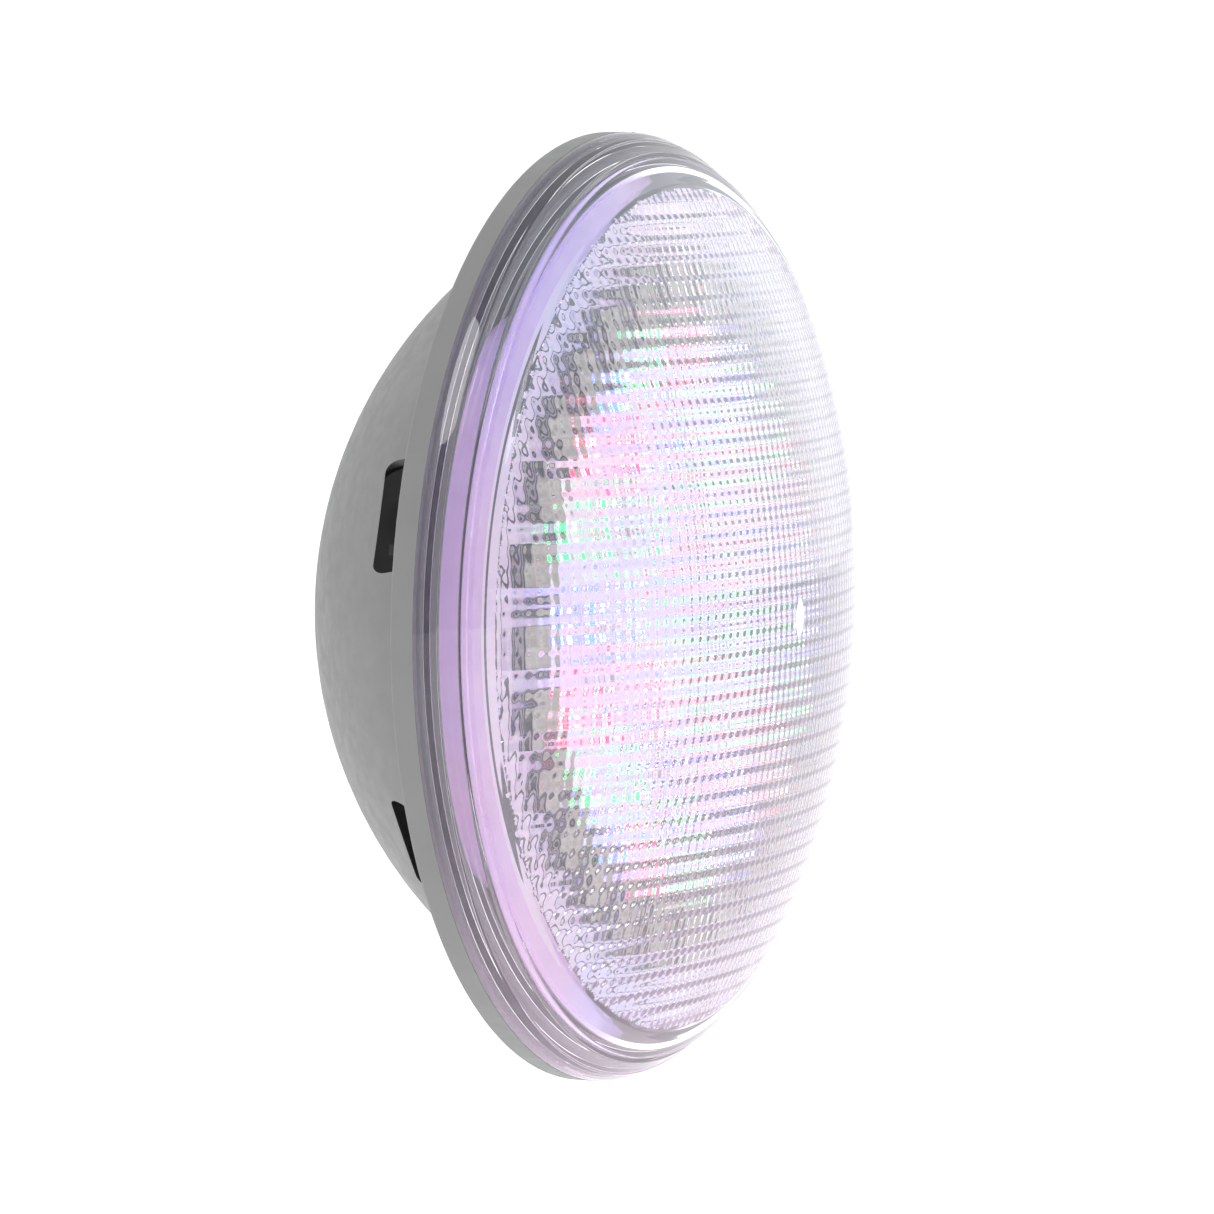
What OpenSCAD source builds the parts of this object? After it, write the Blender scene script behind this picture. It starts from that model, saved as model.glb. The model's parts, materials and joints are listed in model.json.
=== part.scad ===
// Underwater pool light of the PAR56 size, as an assembly of separate pieces.
// The lamp axis lies along Y, the lens faces -Y and +Z is up.
// The origin is on the lamp axis, in the plane where the lens meets the housing rim.
// Each piece is drawn with its axis along local Z, front upwards, and lamp_axis() lays it down.

/* [Housing] */
// Radius of the rim band, which the niche grips
rim_radius = 88.75; // [88:0.05:89.5]
// Depth of the rim band, from the lens seam to the rear seat
rim_depth = 4.7; // [4.2:0.1:6]
// Rounding of the rim's rear edge
rim_round = 1; // [0.5:0.1:1.5]
// Inner radius of the rim ledge that carries the heat sink
ledge_radius = 72.5; // [71.5:0.1:73]
// Outer radius of the spherical bowl
bowl_radius = 83.3; // [82.5:0.1:84.5]
// Distance of the bowl's centre in front of the seam
bowl_centre = 28.1; // [27:0.1:29]
// Wall thickness of the bowl
bowl_wall = 3; // [2.6:0.1:3.2]
// Depth of the flat rear face behind the seam
rear_face = 50.5; // [50:0.1:51]

/* [Water windows] */
// Number of windows around the bowl
window_count = 7; // [5:1:8]
// Width of one window around the bowl
window_width = 20.8; // [12:0.1:22]
// Depth of the front edge of a window behind the seam
window_front = 6.2; // [5.8:0.1:10]
// Depth of the rear edge of a window behind the seam
window_rear = 17.7; // [14:0.1:19]
// Turn of the first window about the lamp axis
window_turn = 163; // [0:1:360]
// Rounding of a window's corners
window_corner = 2; // [0.5:0.1:3]

/* [Lens] */
// Outer radius of the domed lens face
dome_radius = 161; // [158:0.5:164]
// Distance of the dome's centre behind the seam
dome_centre = 128.1; // [127:0.1:129]
// Wall thickness of the dome
lens_wall = 3; // [2.5:0.1:3.2]
// Radius where the dome meets the shoulder
dome_edge = 80.3; // [79.5:0.1:81]
// Inner radius of the lens flange
lens_bore = 80.5; // [80.3:0.1:81]

/* [Light engine] */
// Radius of the light board
board_radius = 78; // [76:0.5:78.5]
// Thickness of each circuit board
board_thickness = 1.6; // [1:0.1:2]
// Thickness of the thermal pad
pad_thickness = 0.4; // [0.2:0.1:0.5]
// Thickness of the heat sink plate
sink_thickness = 4; // [3.8:0.1:4.2]
// Number of cooling fins
fin_count = 28; // [14:1:36]
// Thickness of one fin
fin_thickness = 2; // [1.2:0.1:2.5]
// Depth of the fins behind the seam
fin_depth = 18; // [8:0.5:18]
// Number of resistor blocks in the ring
block_count = 28; // [20:1:30]
// Size of one resistor block, along the radius
block_length = 12.5; // [10:0.5:13]
// Size of one resistor block, around the ring
block_width = 8.6; // [6:0.1:9.6]
// Height of one resistor block
block_height = 3.2; // [2:0.1:6]
// Radius of the ring of resistor blocks
block_ring = 57.75; // [57.5:0.25:61]
// Turn of the ring of resistor blocks about the lamp axis
block_turn = 1.85; // [0:0.05:12]
// Side of one light emitter's square base
emitter_base = 5; // [3:0.1:5]
// Radius of one light emitter's dome
emitter_dome = 2.2; // [1.2:0.1:2.3]

/* [Driver] */
// Outer radius of the driver cup
cup_radius = 25; // [24.5:0.1:26]
// Wall thickness of the driver cup
cup_wall = 2.5; // [2:0.1:2.6]
// Height of the driver board's rear face behind the seam
driver_level = 22; // [21:0.5:23]
// Depth of the potting resin in the cup
potting_depth = 8.5; // [7:0.1:10]

/* [Terminals] */
// Distance of each terminal from the lamp axis
terminal_offset = 10; // [9.5:0.1:10.5]
// Radius of the terminal screw's shank
screw_radius = 2; // [1.5:0.1:2]
// Radial clearance of the screw in its insert
screw_play = 0.05; // [0.02:0.01:0.1]
// Radius of the terminal insert's stem
stem_radius = 4; // [3.5:0.1:4.2]

/* [Hidden] */
$fn = 96;

// Small gap between fixed pieces that slip into each other
slip = 0.1;
// Overrun of a cutting tool past the face that it opens
over = 1;

bowl_inner = bowl_radius - bowl_wall;
rear_inner = rear_face - bowl_wall;
board_back = sink_thickness + pad_thickness;
board_front = board_back + board_thickness;

// Rim grooves: the seal's groove and the groove for the lens tongue
seal_ring = 83.2;
seal_groove_width = 2.4;
seal_groove_depth = 2.2;
tongue_ring = 86.1;
tongue_width = 1.4;
tongue_depth = 1.5;

// Outline of the lens flange, as [distance inside the rim's radius, height], with a moulded
// groove at the seam and three small steps on the slope
flange_outline = [[0.3, 0], [0.05, 0.3], [0.3, 1.6], [1.5, 4], [1.9, 4.1], [3.8, 7], [4.7, 7.1], [4.8, 8.5]];
shoulder_wall = 1.5;
shoulder_inner = 8.85;
shoulder_step = 0.85;
bore_top = 6;

sink_radius = lens_bore - 1.4;

sink_hole = 9;
board_screw_ring = 26;
board_screw_count = 6;
small_screw_radius = 1.5;
small_head_radius = 2.75;
blind_gap = 0.6;

emitter_rings = [[18, 6], [34, 12], [48, 18]];
emitter_base_height = 1;

flange_radius = 35;
flange_thickness = 3;
cup_inner = cup_radius - cup_wall;
cup_seal_ring = 27.4;
cup_seal_radius = 0.83;
cup_screw_ring = 31.5;
cup_screw_count = 4;
gasket_thickness = 1;
cup_bottom = rear_inner - gasket_thickness;
cup_floor = cup_bottom - 3;
driver_radius = cup_inner - 0.5;
driver_front = driver_level - board_thickness;
post_ring = 20;
post_radius = 3;
post_turns = [90, 210, 330];

insert_flange_radius = 6.5;
insert_flange = 1.5;
insert_end = 37;
insert_bore_end = 43;
washer_thickness = 0.8;
washer_radius = 5.5;
head_radius = 3.9;
head_height = 2.5;
washer_face = rear_face + insert_flange;
head_face = washer_face + washer_thickness;
screw_tip = 44;
nut_radius = 7;
nut_height = 3;
lug_thickness = 0.8;
lug_nut_radius = 6.5;
lug_nut_height = 2.2;
barrel_radius = 2.2;
barrel_height = 6.7;
barrel_offset = 9.5;
lead_radius = 1.3;
nut_front = cup_floor - nut_height;
lug_front = nut_front - lug_thickness;

// Lays a piece down so that its local +Z, the front, points along -Y
module lamp_axis() {
    rotate([90, 0, 0]) children();
}

// A round bar from depth a to depth b, measured behind the seam
module bar(radius, a, b) {
    translate([0, 0, -b]) cylinder(r = radius, h = b - a);
}

// A flat ring from height a to height b, measured in front of the seam
module ring(inner, outer, a, b) {
    rotate_extrude() translate([inner, a]) square([outer - inner, b - a]);
}

// A seal of round section
module round_seal(ring_radius, section_radius, height) {
    rotate_extrude() translate([ring_radius, height]) circle(r = section_radius, $fn = 48);
}

// Repeats a piece around the lamp axis
module around(count, radius, turn = 0) {
    for (i = [0 : count - 1]) {
        rotate([0, 0, turn + i * 360 / count]) translate([radius, 0, 0]) children();
    }
}

module at_terminals() {
    for (side = [-1, 1]) {
        translate([side * terminal_offset, 0, 0]) children();
    }
}

// Pan head with a straight slot, its flat face at height 0 and its top at height h
module slotted_head(radius, h, slot_width, slot_depth) {
    difference() {
        intersection() {
            cylinder(r = radius, h = h);
            translate([0, 0, h - 1.6 * radius]) sphere(r = 1.6 * radius);
        }
        translate([-radius - over, -slot_width / 2, h - slot_depth])
            cube([2 * (radius + over), slot_width, slot_depth + over]);
    }
}

// ---------- housing ----------

module rim_section() {
    round_z = -rim_depth + rim_round;
    difference() {
        union() {
            translate([ledge_radius, -rim_depth])
                square([rim_radius - rim_round - ledge_radius, rim_depth]);
            translate([ledge_radius, round_z])
                square([rim_radius - ledge_radius, rim_depth - rim_round]);
            translate([rim_radius - rim_round, round_z]) circle(r = rim_round, $fn = 48);
        }
        translate([seal_ring - seal_groove_width / 2, -seal_groove_depth])
            square([seal_groove_width, seal_groove_depth + over]);
        translate([tongue_ring - tongue_width / 2 - slip, -tongue_depth - slip])
            square([tongue_width + 2 * slip, tongue_depth + over]);
    }
}

module bowl_shell() {
    difference() {
        intersection() {
            translate([0, 0, bowl_centre]) sphere(r = bowl_radius);
            bar(rim_radius, rim_depth - rim_round, rear_face);
        }
        intersection() {
            translate([0, 0, bowl_centre]) sphere(r = bowl_inner);
            bar(rim_radius, 0, rear_inner);
        }
    }
}

// A rounded opening, centred, with its height along X
module window_outline(height) {
    round = window_corner;
    square([height - 2 * round, window_width], center = true);
    square([height, window_width - 2 * round], center = true);
    for (x = [-1, 1], y = [-1, 1])
        translate([x * (height / 2 - round), y * (window_width / 2 - round)]) circle(r = round, $fn = 48);
}

// Each window is cut at a slant, so its rear edge is relieved inwards and water runs freely past it
module window_cutter() {
    slant = 31;
    rear_edge = sqrt(pow(bowl_radius, 2) - pow(window_rear + bowl_centre, 2));
    front_edge = sqrt(pow(bowl_radius, 2) - pow(window_front + bowl_centre, 2));
    depth = window_rear - window_front;
    height = depth * cos(slant) - (front_edge - rear_edge) * sin(slant);
    outward = (front_edge - rear_edge) * cos(slant) + depth * sin(slant) + 0.1;
    inward = 12;
    translate([rear_edge, 0, -window_rear])
        rotate([0, -slant, 0])
            translate([-inward, 0, height / 2])
                rotate([0, 90, 0]) linear_extrude(height = inward + outward) window_outline(height);
}

module terminal_guard() {
    guard_radius = 20;
    guard_wall = 1.6;
    guard_height = 3;
    cable_gap = 11;
    difference() {
        bar(guard_radius, rear_face, rear_face + guard_height);
        bar(guard_radius - guard_wall, rear_face - over, rear_face + guard_height + over);
        translate([-cable_gap / 2, -guard_radius - over, -rear_face - guard_height - over])
            cube([cable_gap, guard_radius, guard_height + over]);
    }
}

module terminal_barrier() {
    barrier_wall = 1.6;
    barrier_length = 24;
    barrier_height = 4.5;
    translate([-barrier_wall / 2, -barrier_length / 2, -rear_face - barrier_height])
        cube([barrier_wall, barrier_length, barrier_height]);
}

module rear_housing() {
    color("#9b9b9a")
    lamp_axis() difference() {
        union() {
            rotate_extrude() rim_section();
            bowl_shell();
            terminal_guard();
            terminal_barrier();
        }
        around(window_count, 0, window_turn) window_cutter();
        at_terminals() bar(stem_radius + slip, rear_inner - over, rear_face + over);
    }
}

// ---------- lens ----------

// Flange and shoulder: a clear bead with shallow steps, from the seam up to the dome
module flange_section() {
    dome_rise = sqrt(pow(dome_radius, 2) - pow(dome_edge, 2)) - dome_centre;
    polygon(concat(
        [[lens_bore, 0]],
        [for (p = flange_outline) [rim_radius - p[0], p[1]]],
        [[dome_edge, dome_rise], [dome_edge - shoulder_wall, shoulder_inner]],
        [[dome_edge - shoulder_wall + 0.1, shoulder_inner - shoulder_step], [lens_bore, bore_top]]
    ));
}

module front_lens() {
    dome_inner = dome_radius - lens_wall;
    color("#e6dcf2", 0.4)
    lamp_axis() {
        rotate_extrude() flange_section();
        ring(tongue_ring - tongue_width / 2, tongue_ring + tongue_width / 2, -tongue_depth, 0);
        difference() {
            intersection() {
                translate([0, 0, -dome_centre]) sphere(r = dome_radius);
                cylinder(r = dome_edge, h = dome_radius);
            }
            translate([0, 0, -dome_centre]) sphere(r = dome_inner);
            translate([0, 0, -over]) cylinder(r = dome_edge + over, h = shoulder_inner + over);
        }
    }
}

module lens_seal() {
    section = seal_groove_depth / 2 - 0.02;
    color("#2a2a2c") lamp_axis() round_seal(seal_ring, section, -seal_groove_depth / 2);
}

// White ring that wraps the light board's edge
module edge_ring() {
    wall_outer = lens_bore - slip;
    color("#f3f1f4")
    lamp_axis() {
        ring(sink_radius + slip, wall_outer, slip, board_front);
        ring(board_radius - 1.2, wall_outer - 0.5, board_front, board_front + 0.6);
    }
}

// ---------- light engine ----------

module led_board() {
    color("#f2eef4")
    lamp_axis() difference() {
        ring_cut = small_screw_radius + slip;
        translate([0, 0, board_back]) cylinder(r = board_radius, h = board_thickness);
        around(board_screw_count, board_screw_ring, 15)
            translate([0, 0, board_back - over])
                cylinder(r = ring_cut, h = board_thickness + 2 * over);
    }
}

module emitter() {
    translate([-emitter_base / 2, -emitter_base / 2, board_front])
        cube([emitter_base, emitter_base, emitter_base_height]);
    translate([0, 0, board_front + emitter_base_height]) difference() {
        sphere(r = emitter_dome, $fn = 48);
        translate([0, 0, -emitter_dome]) cube(2 * emitter_dome, center = true);
    }
}

// Every third emitter of each ring has the same colour
module emitters(remainder) {
    lamp_axis() for (row = emitter_rings) {
        for (k = [remainder : 3 : row[1] - 1]) {
            rotate([0, 0, k * 360 / row[1]]) translate([row[0], 0, 0]) emitter();
        }
    }
}

module blue_leds() {
    color("#4a63ff") emitters(0);
}

module red_leds() {
    color("#ff3b55") emitters(1);
}

module green_leds() {
    color("#45e06a") emitters(2);
}

module ballast_resistors() {
    color("#b9b5a4")
    lamp_axis() around(block_count, block_ring, block_turn)
        translate([-block_length / 2, -block_width / 2, board_front])
            cube([block_length, block_width, block_height]);
}

module thermal_pad() {
    color("#8fa6b8")
    lamp_axis() difference() {
        translate([0, 0, sink_thickness]) cylinder(r = board_radius, h = pad_thickness);
        translate([0, 0, sink_thickness - over])
            cylinder(r = sink_hole, h = pad_thickness + 2 * over);
        around(board_screw_count, board_screw_ring, 15)
            translate([0, 0, sink_thickness - over])
                cylinder(r = small_screw_radius + 3 * slip, h = pad_thickness + 2 * over);
    }
}

// The fins run from just outside the driver cup to just inside the bowl
module fins() {
    fin_inner = flange_radius + 2;
    fin_outer = 64;
    around(fin_count, fin_inner)
        translate([0, -fin_thickness / 2, -fin_depth])
            cube([fin_outer - fin_inner, fin_thickness, fin_depth + over]);
}

module heat_sink() {
    color("#2b2c2e")
    lamp_axis() difference() {
        union() {
            cylinder(r = sink_radius, h = sink_thickness);
            fins();
        }
        translate([0, 0, -over]) cylinder(r = sink_hole, h = sink_thickness + 2 * over);
        around(board_screw_count, board_screw_ring, 15)
            translate([0, 0, blind_gap]) cylinder(r = small_screw_radius, h = sink_thickness);
        around(cup_screw_count, cup_screw_ring, 45)
            translate([0, 0, -over])
                cylinder(r = small_screw_radius, h = sink_thickness - blind_gap + over);
    }
}

module board_screws() {
    color("#c9c9cc")
    lamp_axis() around(board_screw_count, board_screw_ring, 15) {
        translate([0, 0, blind_gap])
            cylinder(r = small_screw_radius, h = board_front - blind_gap);
        translate([0, 0, board_front]) slotted_head(small_head_radius, 1.8, 0.7, 0.9);
    }
}

module board_header() {
    color("#efece4")
    lamp_axis() translate([-6, -3, board_back - 5]) difference() {
        cube([12, 6, 5]);
        translate([1, 1, -over]) cube([10, 4, 3 + over]);
    }
}

module output_plug() {
    color("#e4e0d6")
    lamp_axis() translate([-4.9, -1.9, board_back - 9])
        cube([9.8, 3.8, 6.9]);
}

module output_wires() {
    wire_top = 9 - board_back;
    wire_pitch = 2.5;
    color("#d8d8dc")
    lamp_axis() for (i = [-1.5 : 1 : 1.5]) {
        translate([i * wire_pitch, 0, 0]) bar(0.8, wire_top, driver_front);
    }
}

// ---------- driver ----------

module driver_cup() {
    color("#3a3c40")
    lamp_axis() difference() {
        union() {
            difference() {
                union() {
                    bar(cup_radius, 0, cup_bottom);
                    bar(flange_radius, 0, flange_thickness);
                }
                bar(cup_inner, -over, cup_floor);
            }
            intersection() {
                for (turn = post_turns) {
                    rotate([0, 0, turn]) translate([post_ring, 0, 0])
                        bar(post_radius, driver_level, cup_floor + over);
                }
                bar(cup_radius - 1, 0, cup_bottom);
            }
        }
        for (turn = post_turns) {
            rotate([0, 0, turn]) translate([post_ring, 0, 0])
                bar(1, driver_level - over, driver_level + 8);
        }
        ring(cup_seal_ring - 1.3, cup_seal_ring + 1.3, -1.7, over);
        around(cup_screw_count, cup_screw_ring, 45)
            bar(small_screw_radius + slip, -over, flange_thickness + over);
        at_terminals() bar(stem_radius + slip, cup_floor - over, cup_bottom + over);
    }
}

module cup_seal() {
    color("#222224") lamp_axis() round_seal(cup_seal_ring, cup_seal_radius, -0.85);
}

module cup_screws() {
    color("#c9c9cc")
    lamp_axis() around(cup_screw_count, cup_screw_ring, 45) {
        bar(small_screw_radius, -sink_thickness + 2 * blind_gap, flange_thickness);
        translate([0, 0, -flange_thickness])
            rotate([180, 0, 0]) slotted_head(small_head_radius, 1.8, 0.7, 0.9);
    }
}

module driver_board() {
    color("#2f6b46")
    lamp_axis() difference() {
        bar(driver_radius, driver_front, driver_level);
        for (turn = post_turns) {
            rotate([0, 0, turn]) translate([post_ring, 0, 0])
                bar(1.15, driver_front - over, driver_level + over);
        }
    }
}

module driver_screws() {
    color("#d0d0d2")
    lamp_axis() for (turn = post_turns) {
        rotate([0, 0, turn]) translate([post_ring, 0, 0]) {
            bar(1, driver_front, driver_level + 7);
            translate([0, 0, -driver_front]) slotted_head(1.9, 1.4, 0.5, 0.7);
        }
    }
}

module capacitors() {
    color("#31445e")
    lamp_axis() for (side = [-1, 1]) {
        translate([side * 12, 6.5, 0]) bar(4.8, driver_front - 14, driver_front);
    }
}

module choke() {
    section_radius = 2.4;
    color("#b06a35")
    lamp_axis() translate([0, -12.5, section_radius - driver_front])
        rotate_extrude() translate([4.8, 0]) circle(r = section_radius, $fn = 48);
}

module bridge_rectifier() {
    color("#1f1f21") lamp_axis() translate([-15.5, -7, -driver_front]) cube([8, 7, 4]);
}

module driver_chips() {
    color("#262628")
    lamp_axis() {
        translate([7.2, -7, -driver_front]) cube([5, 6, 1.6]);
        translate([13.2, -6, -driver_front]) cube([4.8, 6, 1.6]);
    }
}

module lead() {
    translate([0, barrel_offset, 0]) bar(lead_radius, driver_level, lug_front - barrel_height);
}

module red_lead() {
    color("#b3262b") lamp_axis() translate([-terminal_offset, 0, 0]) lead();
}

module black_lead() {
    color("#1b1b1d") lamp_axis() translate([terminal_offset, 0, 0]) lead();
}

// ---------- terminals ----------

module lug() {
    difference() {
        union() {
            bar(nut_radius - 0.5, lug_front, nut_front);
            translate([-2.5, 0, -nut_front]) cube([5, barrel_offset, lug_thickness]);
            translate([0, barrel_offset, 0])
                bar(barrel_radius, lug_front - barrel_height, nut_front);
        }
        bar(stem_radius + slip, lug_front - over, nut_front + over);
    }
}

module terminal_lugs() {
    color("#c8ccd0") lamp_axis() at_terminals() lug();
}

module hex_nut(radius, front, back) {
    difference() {
        translate([0, 0, -back]) cylinder(r = radius, h = back - front, $fn = 6);
        bar(stem_radius, front - over, back + over);
    }
}

module lug_nuts() {
    color("#c9a557")
    lamp_axis() at_terminals() hex_nut(lug_nut_radius, lug_front - lug_nut_height, lug_front);
}

module terminal_nuts() {
    color("#c9a557") lamp_axis() at_terminals() hex_nut(nut_radius, nut_front, cup_floor);
}

// Resin poured over the nuts and lugs at the bottom of the cup
module potting_resin() {
    color("#4c4a44")
    lamp_axis() difference() {
        bar(cup_inner, cup_floor - potting_depth, cup_floor);
        for (turn = post_turns) {
            rotate([0, 0, turn]) translate([post_ring, 0, 0])
                bar(post_radius, cup_floor - potting_depth - over, cup_floor + over);
        }
        at_terminals() {
            bar(stem_radius, insert_end, cup_floor + over);
            translate([0, 0, -cup_floor - over])
                cylinder(r = nut_radius, h = nut_height + over, $fn = 6);
            bar(nut_radius - 0.5, lug_front, nut_front);
            translate([-2.5, 0, -nut_front]) cube([5, barrel_offset, lug_thickness]);
            translate([0, 0, -lug_front])
                cylinder(r = lug_nut_radius, h = lug_nut_height, $fn = 6);
            translate([0, barrel_offset, 0])
                bar(barrel_radius, cup_floor - potting_depth - over, nut_front);
        }
    }
}

module terminal_gasket() {
    color("#303033")
    lamp_axis() difference() {
        bar(cup_radius - 1, cup_bottom, rear_inner);
        at_terminals() bar(stem_radius + slip, cup_bottom - over, rear_inner + over);
    }
}

module terminal_inserts() {
    color("#c9a557")
    lamp_axis() at_terminals() difference() {
        union() {
            bar(stem_radius, insert_end, rear_face);
            bar(insert_flange_radius, rear_face, washer_face);
        }
        bar(screw_radius + screw_play, insert_bore_end, washer_face + over);
    }
}

module clamp_washer(side) {
    color("#cfd0d2")
    lamp_axis() translate([side * terminal_offset, 0, 0]) difference() {
        bar(washer_radius, washer_face, head_face);
        bar(screw_radius + slip, washer_face - over, head_face + over);
    }
}

module terminal_screw(side) {
    color("#d3ad5c")
    lamp_axis() translate([side * terminal_offset, 0, 0]) {
        bar(screw_radius, screw_tip, head_face);
        translate([0, 0, -head_face])
            rotate([180, 0, 0]) slotted_head(head_radius, head_height, 1, 1.3);
    }
}

module left_clamp_washer() {
    clamp_washer(-1);
}

module right_clamp_washer() {
    clamp_washer(1);
}

module left_terminal_screw() {
    terminal_screw(-1);
}

module right_terminal_screw() {
    terminal_screw(1);
}

rear_housing();
front_lens();
lens_seal();
edge_ring();
led_board();
red_leds();
green_leds();
blue_leds();
ballast_resistors();
thermal_pad();
heat_sink();
board_screws();
board_header();
output_plug();
output_wires();
driver_cup();
cup_seal();
cup_screws();
driver_board();
driver_screws();
capacitors();
choke();
bridge_rectifier();
driver_chips();
red_lead();
black_lead();
potting_resin();
terminal_lugs();
lug_nuts();
terminal_nuts();
terminal_gasket();
terminal_inserts();
left_clamp_washer();
right_clamp_washer();
left_terminal_screw();
right_terminal_screw();
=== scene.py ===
"""Looks of the underwater pool lamp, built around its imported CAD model.

Lengths named here are in millimetres, and MM turns them into the frame's metres.
Places on the lamp are given as x, z and t, where t is the height in front of the seam, so y = -t.
"""

import json
import math

import bmesh
import bpy
from mathutils import Matrix, Vector


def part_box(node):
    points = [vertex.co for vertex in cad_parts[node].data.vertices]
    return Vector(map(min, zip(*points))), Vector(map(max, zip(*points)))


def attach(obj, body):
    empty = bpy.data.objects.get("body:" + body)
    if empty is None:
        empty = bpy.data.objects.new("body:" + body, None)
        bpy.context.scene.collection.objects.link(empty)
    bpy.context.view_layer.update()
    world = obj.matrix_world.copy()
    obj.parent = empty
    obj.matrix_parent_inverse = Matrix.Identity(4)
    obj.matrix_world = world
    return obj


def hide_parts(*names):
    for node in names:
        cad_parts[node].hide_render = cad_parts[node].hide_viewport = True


MM = 0.001

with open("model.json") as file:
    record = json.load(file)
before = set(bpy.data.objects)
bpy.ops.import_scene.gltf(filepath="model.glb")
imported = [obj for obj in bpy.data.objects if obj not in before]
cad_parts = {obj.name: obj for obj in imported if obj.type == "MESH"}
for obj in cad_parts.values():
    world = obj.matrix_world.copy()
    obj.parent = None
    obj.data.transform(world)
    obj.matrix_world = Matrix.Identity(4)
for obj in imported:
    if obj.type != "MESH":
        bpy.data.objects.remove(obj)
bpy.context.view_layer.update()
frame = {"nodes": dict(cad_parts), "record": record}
nodes = frame["nodes"]


# ---------- driving dimensions, from the frame ----------

RIM_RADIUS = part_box("rear_housing")[1].x / MM
LENS_TOP = -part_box("front_lens")[0].y / MM
BOARD_FRONT = -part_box("led_board")[0].y / MM
BLOCK_TOP = -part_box("ballast_resistors")[0].y / MM

# Lens: outer dome, wall, and the hollow under its shoulder
DOME_RADIUS = 161.0
DOME_CENTRE = LENS_TOP - DOME_RADIUS
DOME_EDGE = 80.3
DOME_RUN_IN = 1.0
LENS_WALL = 3.0
LENS_BORE = 80.5
BORE_TOP = 6.0
SHOULDER_STEP = 0.5
SHOULDER_TOP = 8.9

# Grid of lenslets on the inner face. Samples are mesh steps in a cell
FIELD_RADIUS = 77.3
FIELD_MARGIN = 0.1
PITCH_X = 2.42
PITCH_Z = 3.65
SAG_X = 0.10
SAG_Z = 0.36
SAMPLES_X = 6
SAMPLES_Z = 8

# Back face of the flange, bonded a little way into the housing, with a tongue in its groove
BOND = 0.03
BOND_INSET = 0.3
TONGUE_INNER = 85.3
TONGUE_OUTER = 86.9
TONGUE_DEPTH = 1.62
TONGUE_ROUND = 0.2

# Outside of the flange, as (inset from the rim, height, rounding)
FLANGE_STEPS = [
    (0.05, 0.12, 0.05), (0.3, 1.6, 0.5), (1.5, 4, 0.35), (1.9, 4.1, 0.15),
    (3.8, 7, 0.35), (4.7, 7.1, 0.15), (4.8, 8.5, 0.3)]

# Seal under the flange
SEAL_ROUND = 1.0
SEAL_EDGE_ROUND = 0.15

# Emitters: each ring is (radius, count), and the tabs lie under the package
EMITTER_RINGS = [(18, 6), (34, 12), (48, 18)]
EMITTER_BASE = 5.0
EMITTER_BASE_HEIGHT = 1.0
EMITTER_BASE_BEVEL = 0.18
EMITTER_DOME = 2.2
TAB_SPACING = 1.6
TAB_WIDTH = 0.9
TAB_REACH = 0.8
TAB_HEIGHT = 0.3
TAB_BEVEL = 0.05

# Ballast resistors: a case under a ceramic lid
BLOCK_COUNT = 28
BLOCK_RING = 57.75
BLOCK_LENGTH = 12.5
BLOCK_WIDTH = 8.6
BLOCK_TURN = math.radians(1.85)
BLOCK_BEVEL = 0.4
LID_HEIGHT = 0.8
LID_INSET = 0.4
LID_BEVEL = 0.35

# Material slots of an emitter's mesh, and of a resistor's
PACKAGE, TAB, DOME = 0, 1, 2
CASE, LID = 0, 1


# ---------- mesh helpers ----------

def place(x, z, t):
    """A point on the lamp, in the frame's metres."""
    return (x * MM, -t * MM, z * MM)


def mesh_piece(name, points, faces, sharp_degrees=35):
    """A smooth-shaded mesh object with sharp edges kept sharp."""
    mesh = bpy.data.meshes.new(name)
    mesh.from_pydata(points, [], faces)
    mesh.validate()
    mesh.shade_smooth()
    mesh.set_sharp_from_angle(angle=math.radians(sharp_degrees))
    piece = bpy.data.objects.new(name, mesh)
    bpy.context.scene.collection.objects.link(piece)
    return piece


def rounded(corners, steps=3):
    """An outline with its corners rounded off by curves. Each corner is (r, t, rounding)."""
    outline = []
    last = len(corners) - 1
    for i, (r, t, size) in enumerate(corners):
        if size == 0 or i in (0, last):
            outline.append((r, t))
            continue
        here = Vector((r, t))
        back = (Vector(corners[i - 1][:2]) - here).normalized() * size
        ahead = (Vector(corners[i + 1][:2]) - here).normalized() * size
        for k in range(steps + 1):
            u = k / steps
            p = here + back * (1 - u) ** 2 + ahead * u ** 2
            outline.append((p.x, p.y))
    return outline


# ---------- the lens ----------

def dome_height(r, wall=0.0):
    """Height of the dome's outer face at radius r, or of a face that far inside it."""
    return math.sqrt((DOME_RADIUS - wall) ** 2 - r * r) + DOME_CENTRE


def pillow(u, pitch, sag):
    """Height of a rounded cell at u, with soft valleys between the cells."""
    return sag * (1 + math.cos(2 * math.pi * u / pitch)) / 2


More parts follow.
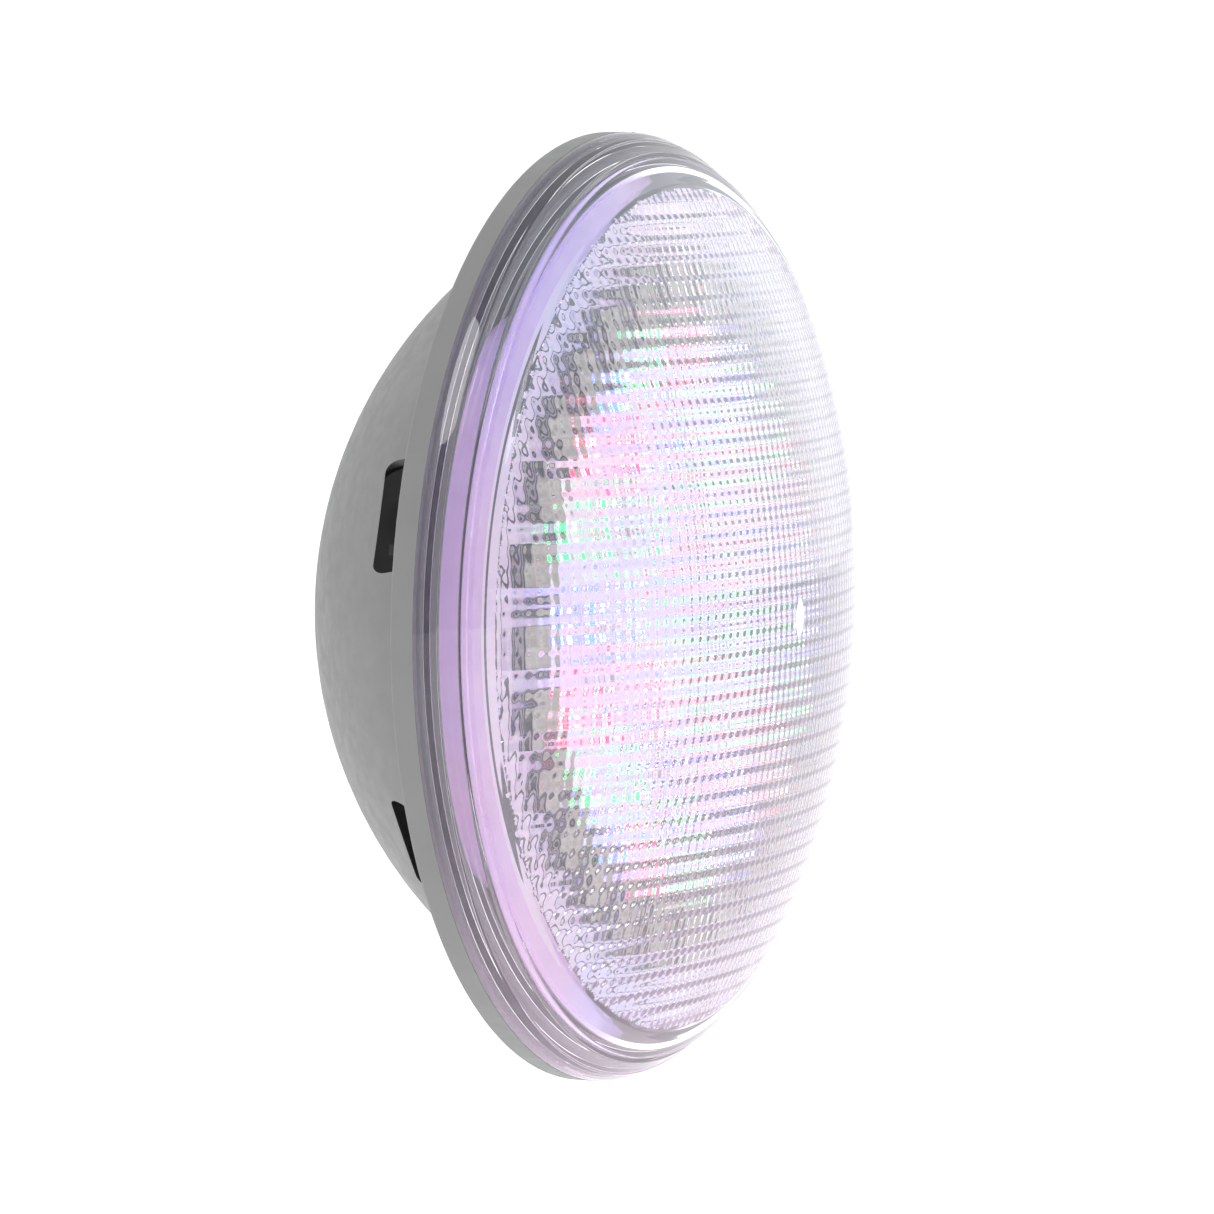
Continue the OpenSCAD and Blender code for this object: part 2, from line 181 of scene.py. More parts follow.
def lenslet_field():
    """The inner face: points on a grid with whole cells inside the field's circle, their faces, and
    the rim points in order round the lamp."""
    step_x = PITCH_X / SAMPLES_X
    step_z = PITCH_Z / SAMPLES_Z
    half_x = int(FIELD_RADIUS / step_x) + 1
    half_z = int(FIELD_RADIUS / step_z) + 1
    inside = (FIELD_RADIUS - FIELD_MARGIN) ** 2
    index = {}
    points = []
    faces = []
    used = {}

    def corner(i, k):
        if (i, k) not in index:
            x = i * step_x
            z = k * step_z
            t = dome_height(math.hypot(x, z), LENS_WALL)
            t -= pillow(x, PITCH_X, SAG_X) + pillow(z, PITCH_Z, SAG_Z)
            index[(i, k)] = len(points)
            points.append((x, z, t))
        return index[(i, k)]

    for i in range(-half_x, half_x):
        for k in range(-half_z, half_z):
            far_x = max(abs(i), abs(i + 1)) * step_x
            far_z = max(abs(k), abs(k + 1)) * step_z
            if far_x ** 2 + far_z ** 2 > inside:
                continue
            cell = (corner(i, k), corner(i + 1, k), corner(i + 1, k + 1), corner(i, k + 1))
            faces.append(cell)
            for a in cell:
                used[a] = used.get(a, 0) + 1
    edge = [a for a, count in used.items() if count < 4]
    edge.sort(key=lambda a: math.atan2(points[a][1], points[a][0]))
    return points, faces, edge


def lens_outline():
    """The revolved part of the lens, from the field's edge round the flange to near the apex."""
    rim = RIM_RADIUS
    run_in = DOME_EDGE - DOME_RUN_IN
    corners = [
        (FIELD_RADIUS, dome_height(FIELD_RADIUS, LENS_WALL), 0),
        (FIELD_RADIUS + SHOULDER_STEP, SHOULDER_TOP, 0.3), (LENS_BORE, BORE_TOP, 0.2),
        (LENS_BORE, -BOND, 0), (TONGUE_INNER, -BOND, 0),
        (TONGUE_INNER, -TONGUE_DEPTH, TONGUE_ROUND), (TONGUE_OUTER, -TONGUE_DEPTH, TONGUE_ROUND),
        (TONGUE_OUTER, -BOND, 0), (rim - BOND_INSET, -BOND, 0)]
    corners += [(rim - inset, height, size) for inset, height, size in FLANGE_STEPS]
    corners += [(DOME_EDGE, dome_height(DOME_EDGE), 0.4), (run_in, dome_height(run_in), 0)]
    outline = rounded(corners)
    steps = 48
    start = math.asin(run_in / DOME_RADIUS)
    for k in range(1, steps):
        turn = start * (1 - k / steps)
        outline.append((DOME_RADIUS * math.sin(turn), DOME_RADIUS * math.cos(turn) + DOME_CENTRE))
    return outline


def build_lens():
    """One closed clear moulding: lenslets inside, a smooth dome outside, and the stepped flange."""
    points, faces, edge = lenslet_field()
    angles = [math.atan2(points[a][1], points[a][0]) for a in edge]
    count = len(edge)
    ring = edge
    for r, t in lens_outline():
        first = len(points)
        points.extend((r * math.cos(a), r * math.sin(a), t) for a in angles)
        above = list(range(first, first + count))
        for i in range(count):
            j = (i + 1) % count
            faces.append((ring[i], ring[j], above[j], above[i]))
        ring = above
    apex = len(points)
    points.append((0, 0, LENS_TOP))
    for i in range(count):
        faces.append((ring[i], ring[(i + 1) % count], apex))
    lens = mesh_piece("domed_lens", [place(*p) for p in points], faces)
    flip_outwards(lens)
    return lens


def revolved(name, outline, around=256):
    """A closed ring: an outline of (r, t) points turned about the lamp axis."""
    points = []
    faces = []
    count = len(outline)
    for k in range(around):
        turn = 2 * math.pi * k / around
        c = math.cos(turn)
        s = math.sin(turn)
        points.extend(place(r * c, r * s, t) for r, t in outline)
    for k in range(around):
        here = k * count
        ahead = (k + 1) % around * count
        for i in range(count):
            j = (i + 1) % count
            faces.append((here + i, here + j, ahead + j, ahead + i))
    piece = mesh_piece(name, points, faces)
    flip_outwards(piece)
    return piece


def build_gasket():
    """The round seal under the lens, pressed flat where the flange bears on it."""
    low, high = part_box("lens_seal")
    outer = high.x / MM
    inner = outer - (high.y - low.y) / MM
    bottom = -high.y / MM
    pressed = rounded([
        (inner, bottom / 2, 0), (inner, bottom, SEAL_ROUND), (outer, bottom, SEAL_ROUND),
        (outer, 0, SEAL_EDGE_ROUND), (inner, 0, SEAL_EDGE_ROUND), (inner, bottom / 2, 0)])
    return revolved("lens_gasket", pressed[:-1])


def flip_outwards(piece):
    """Turns every face of a closed piece to face outwards."""
    work = bmesh.new()
    work.from_mesh(piece.data)
    bmesh.ops.recalc_face_normals(work, faces=work.faces)
    work.to_mesh(piece.data)
    work.free()


# ---------- small repeated parts on the light board ----------

def add_block(work, size, centre, turn, bevel, material, segments=2):
    """A bevelled block, turned about the lamp axis. Its size is along the radius, round the ring and
    in height, and its centre is (radius, height)."""
    made = bmesh.ops.create_cube(work, size=1.0)
    corners = made["verts"]
    bmesh.ops.scale(work, vec=Vector(size) * MM, verts=corners)
    edges = list({e for v in corners for e in v.link_edges})
    cut = bmesh.ops.bevel(
        work, geom=edges, offset=bevel * MM, segments=segments, affect="EDGES", profile=0.7)
    faces = {f for v in cut["verts"] for f in v.link_faces}
    everyone = {v for f in faces for v in f.verts}
    for f in faces:
        f.material_index = material
    radius, height = centre
    bmesh.ops.translate(work, vec=(radius * MM, 0, height * MM), verts=list(everyone))
    lie_down(work, everyone, turn)


def lie_down(work, verts, turn):
    """Turns points drawn with the lamp axis along Z by an angle, then lays that axis along -Y."""
    spin = Matrix.Rotation(turn, 4, "Z")
    tip = Matrix.Rotation(math.pi / 2, 4, "X")
    bmesh.ops.transform(work, matrix=tip @ spin, verts=list(verts))


def add_dome(work, radius, centre, turn, material, rings=6, around=20):
    """A half-round dome at (radius, height) on the board, closed underneath."""
    ring_radius, height = centre
    levels = []
    for k in range(rings):
        lift = math.pi / 2 * k / rings
        r = radius * math.cos(lift)
        levels.append([
            work.verts.new((
                (ring_radius + r * math.cos(2 * math.pi * i / around)) * MM,
                r * math.sin(2 * math.pi * i / around) * MM,
                (height + radius * math.sin(lift)) * MM))
            for i in range(around)])
    top = work.verts.new((ring_radius * MM, 0, (height + radius) * MM))
    faces = [work.faces.new(list(reversed(levels[0])))]
    for low, high in zip(levels, levels[1:]):
        for i in range(around):
            j = (i + 1) % around
            faces.append(work.faces.new((low[i], low[j], high[j], high[i])))
    for i in range(around):
        faces.append(work.faces.new((levels[-1][i], levels[-1][(i + 1) % around], top)))
    for f in faces:
        f.material_index = material
    lie_down(work, {v for level in levels for v in level} | {top}, turn)


def piece_from(work, name, materials, sharp_degrees=40):
    """Turns the drawn geometry into an object with these materials."""
    mesh = bpy.data.meshes.new(name)
    work.to_mesh(mesh)
    work.free()
    mesh.shade_smooth()
    mesh.set_sharp_from_angle(angle=math.radians(sharp_degrees))
    for material in materials:
        mesh.materials.append(material)
    piece = bpy.data.objects.new(name, mesh)
    bpy.context.scene.collection.objects.link(piece)
    return piece


def build_emitters(name, remainder, materials):
    """Every third emitter of each ring: a bevelled package, its solder tabs and its lit dome."""
    work = bmesh.new()
    base = (EMITTER_BASE, EMITTER_BASE, EMITTER_BASE_HEIGHT)
    base_level = BOARD_FRONT + EMITTER_BASE_HEIGHT / 2
    tab = (TAB_WIDTH, EMITTER_BASE + TAB_REACH, TAB_HEIGHT)
    tab_level = BOARD_FRONT + TAB_HEIGHT / 2
    for ring_radius, count in EMITTER_RINGS:
        for k in range(remainder, count, 3):
            turn = 2 * math.pi * k / count
            add_block(work, base, (ring_radius, base_level), turn, EMITTER_BASE_BEVEL, PACKAGE)
            for shift in (-TAB_SPACING, 0, TAB_SPACING):
                add_block(work, tab, (ring_radius + shift, tab_level), turn, TAB_BEVEL, TAB, 1)
            add_dome(work, EMITTER_DOME, (ring_radius, BOARD_FRONT + EMITTER_BASE_HEIGHT), turn, DOME)
    return piece_from(work, name, materials)


def build_blocks(materials):
    """The ring of ballast resistors: each is a banded case with a beige ceramic lid."""
    work = bmesh.new()
    case_height = BLOCK_TOP - BOARD_FRONT - LID_HEIGHT / 2
    case = (BLOCK_LENGTH, BLOCK_WIDTH, case_height)
    lid = (BLOCK_LENGTH - 2 * LID_INSET, BLOCK_WIDTH - 2 * LID_INSET, LID_HEIGHT)
    for k in range(BLOCK_COUNT):
        turn = BLOCK_TURN + 2 * math.pi * k / BLOCK_COUNT
        add_block(work, case, (BLOCK_RING, BOARD_FRONT + case_height / 2), turn, BLOCK_BEVEL, CASE)
        add_block(work, lid, (BLOCK_RING, BLOCK_TOP - LID_HEIGHT / 2), turn, LID_BEVEL, LID, 3)
    return piece_from(work, "resistor_blocks", materials)


# ---------- materials ----------

# Numbers of a Mix node's two colour inputs, and of its colour output
MIX_FIRST, MIX_SECOND, MIX_RESULT = 6, 7, 2

# The lens's painted glow, emission in place of the light inside it: z where it goes from pink to blue,
# z where the rim's goes from bright to faint, and the radii between which the face's gives way to the
# rim's
PAINTED_GLOW_LOW, PAINTED_GLOW_HIGH = -85, 60
RIM_PAINTED_GLOW_LOW, RIM_PAINTED_GLOW_HIGH = -80, -30
RIM_PAINTED_GLOW_START, RIM_PAINTED_GLOW_FULL = 81, 86

# Rings of buried track on the board, dark with painted shade beyond a radius, and painted shade bands up
# a resistor
TRACK_PITCH = 4
SHADE_RING_RADIUS = 65.0
SHADE_RING_EDGE = 0.2
SHADE_BAND_PITCH = 1.1


class Finish:
    """A Principled material whose colour, gloss and relief come from noise in the piece's own space."""

    def __init__(self, name, roughness=0.5, metallic=0.0):
        self.material = bpy.data.materials.new(name)
        self.material.use_nodes = True
        self.tree = self.material.node_tree
        self.shader = self.tree.nodes["Principled BSDF"]
        self.shader.inputs["Roughness"].default_value = roughness
        self.shader.inputs["Metallic"].default_value = metallic
        self.where = self.tree.nodes.new("ShaderNodeTexCoord").outputs["Object"]

    def node(self, kind, **settings):
        """A new node. Settings are the values of its inputs, or its own properties."""
        made = self.tree.nodes.new(kind)
        for key, value in settings.items():
            if key in made.inputs:
                made.inputs[key].default_value = value
            else:
                setattr(made, key, value)
        return made

    def link(self, output, target):
        self.tree.links.new(output, target)

    def set(self, **sockets):
        """Numbers that are the same all over the surface. Underscores stand for spaces."""
        for key, value in sockets.items():
            self.shader.inputs[key.replace("_", " ")].default_value = value
        return self

    def noise(self, size, detail=3.0, stretch=(1, 1, 1)):
        """Noise whose features are about size millimetres across."""
        mapping = self.node("ShaderNodeMapping")
        mapping.inputs["Scale"].default_value = [s / (size * MM) for s in stretch]
        self.link(self.where, mapping.inputs["Vector"])
        texture = self.node("ShaderNodeTexNoise", Scale=1.0, Detail=detail, Roughness=0.55)
        self.link(mapping.outputs["Vector"], texture.inputs["Vector"])
        return texture.outputs["Fac"]

    def radius(self):
        """Distance from the lamp axis."""
        flat = self.node("ShaderNodeVectorMath", operation="MULTIPLY")
        flat.inputs[1].default_value = (1, 0, 1)
        length = self.node("ShaderNodeVectorMath", operation="LENGTH")
        self.link(self.where, flat.inputs[0])
        self.link(flat.outputs["Vector"], length.inputs[0])
        return length.outputs["Value"]

    def spread(self, value, low, high, near=0.35, far=0.65):
        """Stretches a value from near..far to low..high."""
        ranged = self.node("ShaderNodeMapRange")
        self.link(value, ranged.inputs["Value"])
        for key, number in (("From Min", near), ("From Max", far), ("To Min", low), ("To Max", high)):
            ranged.inputs[key].default_value = number
        return ranged.outputs["Result"]

    def blend(self, value, first, second):
        """A colour between first and second. Each is a colour or another node's output."""
        mix = self.node("ShaderNodeMix", data_type="RGBA")
        self.link(value, mix.inputs["Factor"])
        for socket, colour in ((mix.inputs[MIX_FIRST], first), (mix.inputs[MIX_SECOND], second)):
            if isinstance(colour, bpy.types.NodeSocket):
                self.link(colour, socket)
            else:
                socket.default_value = (*colour, 1)
        return mix.outputs[MIX_RESULT]

    def along(self, axis):
        """The place along one axis of the frame, "Y" or "Z"."""
        split = self.node("ShaderNodeSeparateXYZ")
        self.link(self.where, split.inputs["Vector"])
        return split.outputs[axis]

    def wave(self, value, pitch, phase=0.0):
        """A sine of a length, once every pitch millimetres."""
        turns = self.node("ShaderNodeMath", operation="MULTIPLY_ADD")
        turns.inputs[1].default_value = 2 * math.pi / (pitch * MM)
        turns.inputs[2].default_value = phase
        self.link(value, turns.inputs[0])
        sine = self.node("ShaderNodeMath", operation="SINE")
        self.link(turns.outputs["Value"], sine.inputs[0])
        return sine.outputs["Value"]

    def colour(self, first, second, size, detail=3.0, stretch=(1, 1, 1)):
        """Base colour that drifts between two tones."""
        tone = self.spread(self.noise(size, detail, stretch), 0, 1)
        self.link(self.blend(tone, first, second), self.shader.inputs["Base Color"])
        return self

    def gloss(self, low, high, size, stretch=(1, 1, 1)):
        """Roughness that drifts between two values."""
        self.link(self.spread(self.noise(size, 2.0, stretch), low, high), self.shader.inputs["Roughness"])
        return self

    def glow(self, first, second, size, strength):
        """A painted glow: emission in two drifting tints, in place of the emitters' light the surface
        scatters back.
        """
        painted_glow_tint = self.blend(self.spread(self.noise(size, 1.0), 0, 1), first, second)
        self.link(painted_glow_tint, self.shader.inputs["Emission Color"])
        return self.set(Emission_Strength=strength)

    def relief(self, size, depth, strength=0.5, stretch=(1, 1, 1)):
        """Fine bumps of about that size and depth, in millimetres."""
        bump = self.node("ShaderNodeBump", Strength=strength, Distance=depth * MM)
        self.link(self.noise(size, 2.0, stretch), bump.inputs["Height"])
        self.link(bump.outputs["Normal"], self.shader.inputs["Normal"])
        return self


def plastic(name, first, second, low=0.4, high=0.55, grain=0.5, depth=0.02, patch=8):
    """Moulded plastic with a fine grain and slight patches of tone."""
    return Finish(name).colour(first, second, patch).gloss(low, high, 3).relief(grain, depth).material


def metal(name, first, second, low=0.2, high=0.38):
    """Plated or turned metal with fine marks."""
    made = Finish(name, metallic=1.0).colour(first, second, 1.5)
    return made.gloss(low, high, 0.6).relief(0.3, 0.01, 0.3).material


def lens_clear():
    """Clear polycarbonate with a trace of moulding haze. The light inside is a painted glow of emission,
    pink at its foot and blue above, stronger at the foot of its rim."""
    made = Finish("lens_clear", roughness=0.0)
    made.set(Transmission_Weight=1.0, IOR=1.585)
    made.colour((0.985, 0.975, 1.0), (1.0, 0.99, 1.0), 30)
    made.gloss(0.01, 0.035, 12)
    z = made.along("Z")
    up = made.spread(z, 0, 1, PAINTED_GLOW_LOW * MM, PAINTED_GLOW_HIGH * MM)
    up_rim = made.spread(z, 0, 1, RIM_PAINTED_GLOW_LOW * MM, RIM_PAINTED_GLOW_HIGH * MM)
    outwards = made.spread(made.radius(), 0, 1, RIM_PAINTED_GLOW_START * MM, RIM_PAINTED_GLOW_FULL * MM)
    # Painted glow: emission in place of the light inside the lens, pink to blue up the face, bright at
    # the rim's foot
    face_painted_glow = made.blend(up, (1.0, 0.72, 0.95), (0.72, 0.82, 1.0))
    rim_painted_glow = made.blend(up_rim, (4.0, 2.9, 4.0), (0.6, 0.55, 0.8))
    made.link(made.blend(outwards, face_painted_glow, rim_painted_glow), made.shader.inputs["Emission Color"])
    return made.set(Emission_Strength=0.045).material


def lit_dome(name, colour, strength):
    """A lit emitter: coloured resin, with a white-hot cap over the chip."""
    made = Finish(name, roughness=0.2)
    top = -(BOARD_FRONT + EMITTER_BASE_HEIGHT + EMITTER_DOME) * MM
    cap = made.spread(made.along("Y"), 1, 0, top + 0.1 * MM, top + 0.4 * MM)
    tone = made.blend(made.spread(made.noise(1.2), 0, 1), colour, [0.85 * c for c in colour])
    made.link(made.blend(cap, tone, (2, 2, 2)), made.shader.inputs["Emission Color"])
    made.link(tone, made.shader.inputs["Base Color"])
    return made.set(Emission_Strength=strength).material


def board_white():
    """White solder resist with faint rings of buried track and slightly uneven gloss. Beyond the
    resistors the track's rings are dark with painted shade, and the rest has a painted glow of the
    emitters' light."""
    made = Finish("board_white", roughness=0.35)
    radius = made.radius()
    track = made.spread(made.wave(radius, TRACK_PITCH, -0.8 * math.pi), 0, 1, 0.80, 0.86)
    # Painted shade: beyond the resistors the track's rings turn dark and take no glow
    outer = made.spread(radius, 0, 1, SHADE_RING_RADIUS * MM, (SHADE_RING_RADIUS + SHADE_RING_EDGE) * MM)
    shade_rings = made.node("ShaderNodeMath", operation="MULTIPLY")
    made.link(track, shade_rings.inputs[0])
    made.link(outer, shade_rings.inputs[1])
    ground = made.blend(made.spread(made.noise(6), 0, 1), (0.82, 0.80, 0.85), (0.87, 0.86, 0.89))
    tracks_and_shade = made.blend(outer, (0.70, 0.68, 0.73), (0.05, 0.045, 0.07))
    made.link(made.blend(track, ground, tracks_and_shade), made.shader.inputs["Base Color"])
    bump = made.node("ShaderNodeBump", Strength=0.4, Distance=0.03 * MM)
    made.link(track, bump.inputs["Height"])
    made.link(bump.outputs["Normal"], made.shader.inputs["Normal"])
    made.gloss(0.25, 0.4, 5)
    # Painted glow: lilac to blue emission in place of the emitters' light on the board
    painted_glow_tint = made.blend(made.spread(made.noise(45, 1.0), 0, 1), (0.20, 0.02, 0.20), (0.02, 0.02, 0.34))
    made.link(made.blend(shade_rings.outputs["Value"], painted_glow_tint, (0, 0, 0)), made.shader.inputs["Emission Color"])
    return made.set(Emission_Strength=0.5).material


def banded_case():
    """Pale ceramic with dark bands of painted shade for its shaded sides, stacked up the height of a
    resistor.
    """
    made = Finish("block_case", roughness=0.45)
    # Painted shade: dark bands up the case in place of its shaded sides
    shade_bands = made.spread(made.wave(made.along("Y"), SHADE_BAND_PITCH), 0, 1, -0.1, 0.1)
    pale = made.blend(made.spread(made.noise(2), 0, 1), (0.30, 0.28, 0.30), (0.44, 0.42, 0.44))
    shade_band_colour = made.blend(made.spread(made.noise(1), 0, 1), (0.01, 0.011, 0.02), (0.03, 0.032, 0.05))
    made.link(made.blend(shade_bands, pale, shade_band_colour), made.shader.inputs["Base Color"])
    return made.gloss(0.35, 0.5, 2).relief(0.5, 0.02).material


def lit_white():
    """White plastic with a painted glow, emission in place of the board's light carried inside it."""
    made = Finish("white_plastic").colour((0.58, 0.56, 0.64), (0.64, 0.62, 0.70), 8).gloss(0.28, 0.4, 3)
    # Painted glow: lilac to blue emission on the white plastic
    return made.relief(1.5, 0.01).glow((0.17, 0.01, 0.16), (0.07, 0.01, 0.26), 45, 1.0).material


def stray_lit_black(name):
    """Black plastic with a faint painted glow, emission in place of the stray light behind the windows.
    """
    made = Finish(name).colour((0.03, 0.03, 0.032), (0.05, 0.05, 0.053), 3).gloss(0.35, 0.5, 3)
    # Painted glow: faint grey emission in place of stray light
    return made.relief(0.4, 0.01).glow((0.020, 0.020, 0.021), (0.026, 0.026, 0.027), 8, 1.0).material


def circuit_green():
    """Green solder resist with the tone of the copper under it."""
    made = Finish("circuit_green", roughness=0.35)
    made.colour((0.02, 0.10, 0.05), (0.05, 0.20, 0.10), 2.5, 1.0)
    return made.gloss(0.25, 0.4, 4).relief(1.5, 0.03, 0.3).material


def winding():
    """Enamelled copper wire, wound in turns."""
    made = Finish("copper_winding", metallic=1.0)
    made.colour((0.40, 0.16, 0.06), (0.75, 0.36, 0.17), 0.8, stretch=(4, 4, 0.3))
    return made.gloss(0.25, 0.4, 0.8).relief(0.6, 0.08, 0.8, (4, 4, 0.3)).material


def potting():
    """Glossy dark potting resin with a slightly wavy surface."""
    made = Finish("cast_resin", roughness=0.15)
    made.colour((0.02, 0.019, 0.016), (0.05, 0.047, 0.04), 6)
    return made.set(Coat_Weight=0.6, Coat_Roughness=0.08).relief(7, 0.15, 0.4).material


# Moulded plastics and rubbers: two tones, lowest and highest roughness, grain, its depth, patch
PLASTICS = {
    "housing_grey": ((0.217, 0.217, 0.216), (0.229, 0.229, 0.228), 0.42, 0.55, 0.45, 0.012, 12),
    "seal_rubber": ((0.012, 0.012, 0.013), (0.03, 0.03, 0.032), 0.5, 0.7, 0.4, 0.02, 4),
    "ceramic_beige": ((0.42, 0.40, 0.34), (0.62, 0.60, 0.53), 0.6, 0.8, 0.35, 0.05, 2.5),
    "thermal_pad": ((0.25, 0.33, 0.40), (0.30, 0.38, 0.45), 0.6, 0.8),
    "connector_ivory": ((0.72, 0.68, 0.58), (0.80, 0.77, 0.68)),
    "wire_insulation": ((0.62, 0.62, 0.66), (0.74, 0.74, 0.77), 0.3, 0.45),
    "capacitor_blue": ((0.012, 0.03, 0.075), (0.02, 0.045, 0.11), 0.2, 0.35),
    "chip_black": ((0.008, 0.008, 0.009), (0.02, 0.02, 0.021), 0.45, 0.65),
    "lead_red": ((0.30, 0.006, 0.008), (0.42, 0.012, 0.015), 0.3, 0.45),
    "lead_black": ((0.006, 0.006, 0.007), (0.018, 0.018, 0.02), 0.3, 0.45),
    "emitter_package": ((0.78, 0.77, 0.78), (0.86, 0.85, 0.87), 0.3, 0.4),
}

# Metals: two tones, lowest and highest roughness
METALS = {
    "screw_steel": ((0.52, 0.52, 0.53), (0.70, 0.70, 0.71)),
    "tinned_copper": ((0.55, 0.56, 0.58), (0.72, 0.73, 0.75), 0.25, 0.45),
    "terminal_brass": ((0.52, 0.34, 0.11), (0.70, 0.50, 0.20), 0.2, 0.36),
    "screw_brass": ((0.58, 0.40, 0.14), (0.76, 0.56, 0.24), 0.16, 0.32),
}


def make_materials():
    """Every material by name, most of them named after the slot they fill."""
    made = {name: plastic(name, *values) for name, values in PLASTICS.items()}
    made.update({name: metal(name, *values) for name, values in METALS.items()})
    made["lens_clear"] = lens_clear()
    made["white_plastic"] = lit_white()
    made["board_white"] = board_white()
    made["sink_black"] = stray_lit_black("sink_black")
    made["cup_black"] = stray_lit_black("cup_black")
    made["circuit_green"] = circuit_green()
    made["copper_winding"] = winding()
    made["resin"] = potting()
    made["block_case"] = banded_case()
    return made


def dress_nodes(materials):
    """Gives each CAD node its slot's material, but for the emitters' nodes, which are all replaced."""
    for part in frame["record"]["subparts"]:
        node = nodes[part["node"]]
        material = materials.get(part["material_slot"])
        if material is None:
            continue
        node.data.materials.clear()
        node.data.materials.append(material)


# ---------- pieces ----------

def add_piece(piece, node):
    """Puts a piece on the lamp in place of a CAD node, which it hides."""
    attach(piece, "lamp")
    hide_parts(node)


# Emitters by colour: the first of every three that has it, its tint, and how brightly it is lit
LIT = {
    "blue": (0, (0.01, 0.03, 1.0), 22),
    "red": (1, (1.0, 0.005, 0.02), 20),
    "green": (2, (0.01, 1.0, 0.05), 9),
}

materials = make_materials()
dress_nodes(materials)

lens = build_lens()
lens.data.materials.append(materials["lens_clear"])
add_piece(lens, "front_lens")

for colour_name, (remainder, colour, strength) in LIT.items():
    dome = lit_dome("lit_" + colour_name, colour, strength)
    surfaces = [materials["emitter_package"], materials["tinned_copper"], dome]
    emitters = build_emitters(colour_name + "_emitters", remainder, surfaces)
    add_piece(emitters, colour_name + "_leds")

blocks = build_blocks([materials["block_case"], materials["ceramic_beige"]])
add_piece(blocks, "ballast_resistors")

gasket = build_gasket()
gasket.data.materials.append(materials["seal_rubber"])
add_piece(gasket, "lens_seal")


# ---------- studio ----------

# Camera: distances in metres, with the slide towards its own left
VIEW_AZIMUTH = math.radians(-64.8)
VIEW_ELEVATION = math.radians(4.5)
VIEW_ROLL = math.radians(-0.16)
VIEW_DISTANCE = 1.2
VIEW_LENS = 190.0
VIEW_SLIDE = 0.00375

# Brightness of the room in front of the lamp, behind it, right behind it, and added by the wall
ROOM_FRONT = 0.62
ROOM_BACK = 1.0
BACKDROP = 1.1
WALL = 0.95
WALL_DIRECTION = (0.9, -0.42, 0.1)

# Lights: direction from the lamp, distance and diameter in metres, and watts
LIGHTS = {
    "key": ((-0.6, -0.3, 0.9), 1.6, 0.9, 9),
    "glint": ((0.93, -0.35, -0.086), 1.227, 0.05, 0.30),
}

# Floor, in metres
FLOOR_HALF = 6.0
FLOOR_LEVEL = -0.3


def view_axes():
    """The camera's right, up and backward directions."""
    a = VIEW_AZIMUTH
    level = math.cos(VIEW_ELEVATION)
    back = Vector((math.sin(a) * level, -math.cos(a) * level, math.sin(VIEW_ELEVATION)))
    right = Vector((math.cos(a), math.sin(a), 0))
    up = back.cross(right)
    c = math.cos(VIEW_ROLL)
    s = math.sin(VIEW_ROLL)
    return c * right + s * up, c * up - s * right, back


def add_camera():
    """A long lens at the photograph's angle."""
    right, up, back = view_axes()
    camera = bpy.data.objects.new("camera", bpy.data.cameras.new("camera"))
    camera.data.lens = VIEW_LENS
    camera.data.clip_end = 50
    turn = Matrix((right, up, back)).transposed().to_4x4()
    camera.matrix_world = Matrix.Translation(back * VIEW_DISTANCE - right * VIEW_SLIDE) @ turn
    bpy.context.scene.collection.objects.link(camera)
    bpy.context.scene.camera = camera


def add_light(name, direction, distance, size, power):
    """A round area light in that direction from the lamp, facing it."""
    data = bpy.data.lights.new(name, "AREA")
    data.shape = "DISK"
    data.size = size
    data.energy = power
    light = bpy.data.objects.new(name, data)
    toward = Vector(direction).normalized()
    light.location = toward * distance
    light.rotation_euler = toward.to_track_quat("Z", "Y").to_euler()
    bpy.context.scene.collection.objects.link(light)


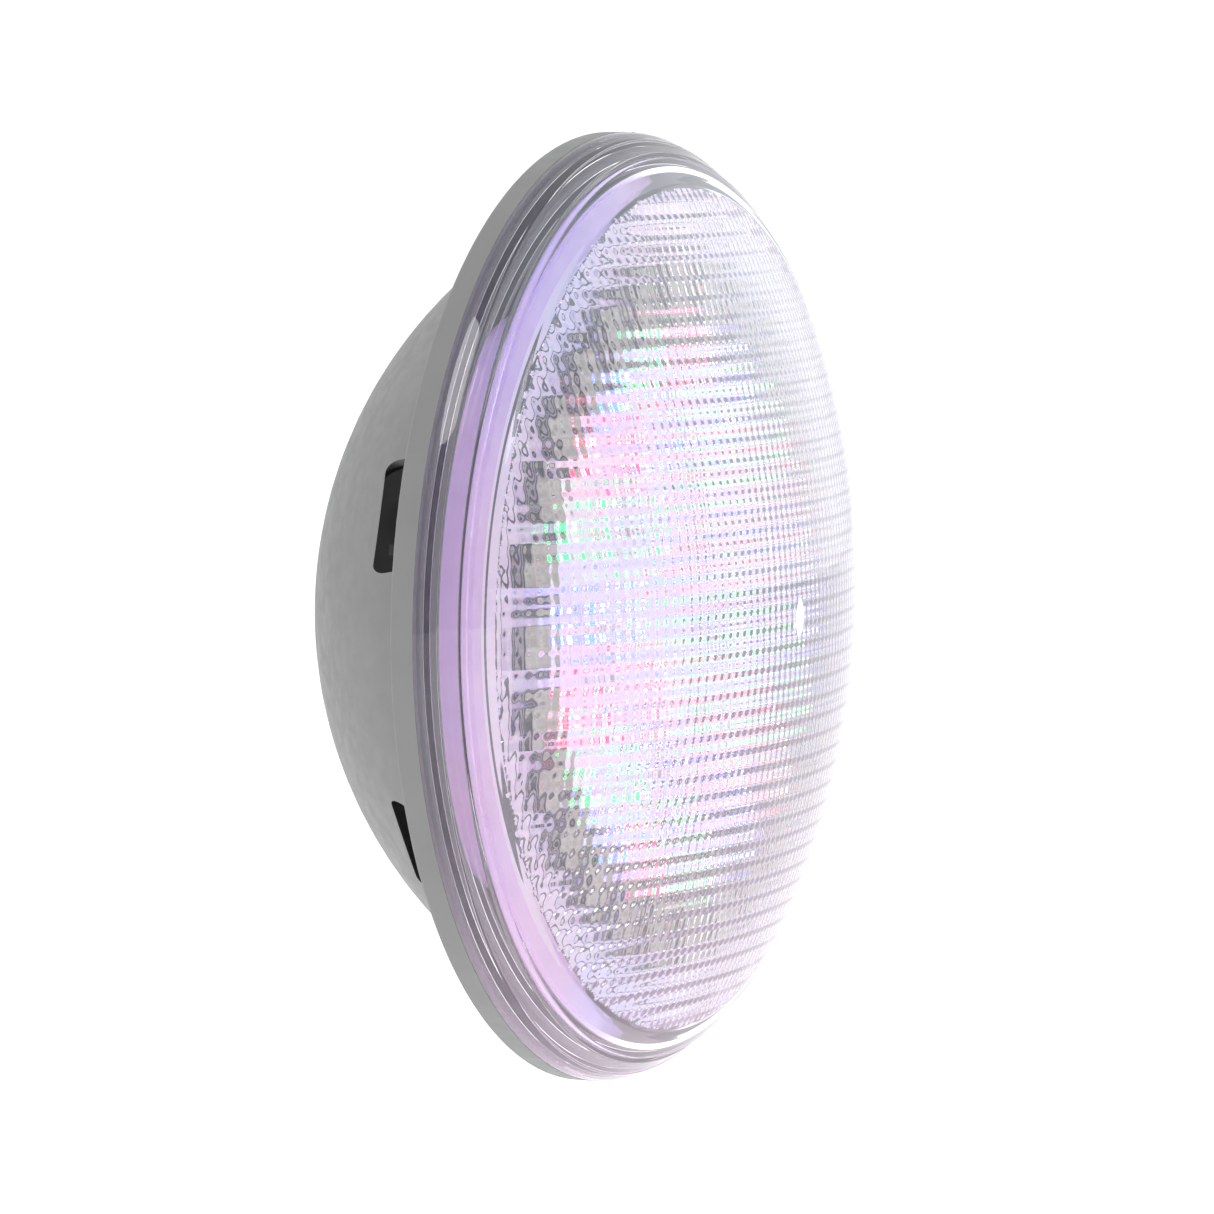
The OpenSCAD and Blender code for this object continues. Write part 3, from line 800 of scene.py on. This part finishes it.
def add_world():
    """A pale room: a lit backdrop right behind the lamp and a soft bright wall off its right front."""
    world = bpy.data.worlds.new("studio")
    world.use_nodes = True
    tree = world.node_tree
    background = tree.nodes["Background"]
    where = tree.nodes.new("ShaderNodeTexCoord").outputs["Generated"]
    behind = -view_axes()[2]
    wall = Vector(WALL_DIRECTION).normalized()
    strengths = [
        room_strength(tree, where, behind, -0.6, 0.6, ROOM_FRONT, ROOM_BACK),
        room_strength(tree, where, behind, 0.95, 0.99, 0, BACKDROP - ROOM_BACK),
        room_strength(tree, where, wall, 0.78, 1.0, 0, WALL)]
    total = strengths[0]
    for strength in strengths[1:]:
        added = tree.nodes.new("ShaderNodeMath")
        tree.links.new(total, added.inputs[0])
        tree.links.new(strength, added.inputs[1])
        total = added.outputs["Value"]
    tree.links.new(total, background.inputs["Strength"])
    background.inputs["Color"].default_value = (0.985, 0.99, 1, 1)
    bpy.context.scene.world = world


def room_strength(tree, where, direction, near, far, low, high):
    """A brightness that goes smoothly from low to high as the cosine of the angle to a direction goes
    from near to far."""
    facing = tree.nodes.new("ShaderNodeVectorMath")
    facing.operation = "DOT_PRODUCT"
    facing.inputs[1].default_value = direction
    tree.links.new(where, facing.inputs[0])
    ramp = tree.nodes.new("ShaderNodeMapRange")
    ramp.interpolation_type = "SMOOTHSTEP"
    for key, number in (("From Min", near), ("From Max", far), ("To Min", low), ("To Max", high)):
        ramp.inputs[key].default_value = number
    tree.links.new(facing.outputs["Value"], ramp.inputs["Value"])
    return ramp.outputs["Result"]


def add_floor():
    """A plain pale floor, well below the lamp."""
    signs = ((-1, -1), (1, -1), (1, 1), (-1, 1))
    corners = [(x * FLOOR_HALF, y * FLOOR_HALF, FLOOR_LEVEL) for x, y in signs]
    floor = mesh_piece("floor", corners, [(0, 1, 2, 3)])
    paint = Finish("floor_paint").colour((0.93, 0.93, 0.93), (0.95, 0.95, 0.95), 400)
    paint.set(Emission_Color=(1, 1, 1, 1), Emission_Strength=0.42)
    floor.data.materials.append(paint.gloss(0.8, 0.9, 200).material)


add_camera()
add_world()
add_floor()
for light_name, settings in LIGHTS.items():
    add_light(light_name, *settings)
bpy.context.scene.view_settings.view_transform = "Standard"
